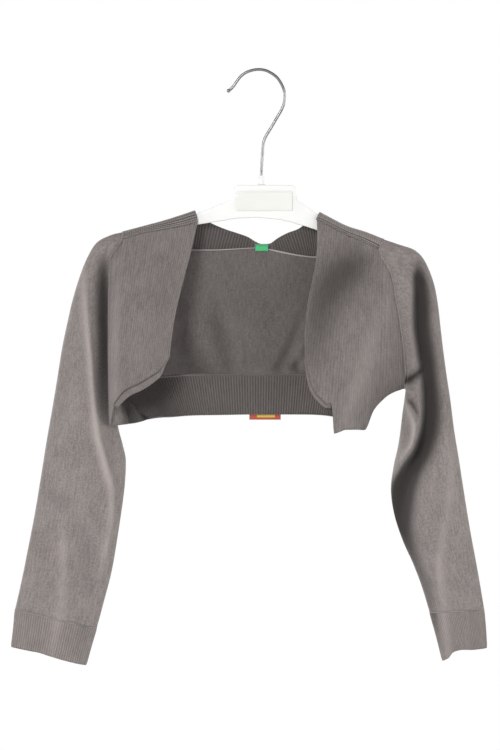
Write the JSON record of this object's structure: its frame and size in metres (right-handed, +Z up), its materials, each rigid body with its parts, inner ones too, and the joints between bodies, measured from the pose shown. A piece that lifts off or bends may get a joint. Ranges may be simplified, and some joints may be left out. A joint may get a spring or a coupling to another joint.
{
  "type": "child's open-front rib cardigan on a clothes hanger",
  "caption": "Child's cropped open-front cardigan in fine rib knit with long sleeves, hanging open on a moulded hanger with a wire hook.",
  "frame": {"origin": "underside of the top of the hanger's hook, where a rail carries it", "axes": "+Z up along the hanging garment, +Y away from someone facing its open front, +X to that person's right"},
  "size_m": [0.4286, 0.0541, 0.5372],
  "materials": {
    "taupe_knit": "matt fine knit",
    "taupe_rib": "matt rib knit",
    "white_plastic": "satin moulded",
    "bright_steel": "bright wire",
    "green_label": "woven label",
    "red_label": "woven label"
  },
  "bodies": {
    "root": {"back": "taupe_knit", "cuff_left": "taupe_rib", "cuff_right": "taupe_rib", "front_left": "taupe_rib", "front_right": "taupe_rib", "front_trim_left": "taupe_knit", "front_trim_right": "taupe_knit", "hanger": "white_plastic", "hanger_plate": "white_plastic", "hanger_socket": "white_plastic", "hem_band": "taupe_rib", "hem_label": "red_label", "hook": "bright_steel", "neck_band": "taupe_rib", "neck_label": "green_label", "shoulder_strip_left": "taupe_rib", "shoulder_strip_right": "taupe_rib", "sleeve_left": "taupe_knit", "sleeve_right": "taupe_knit"}
  },
  "joints": []
}
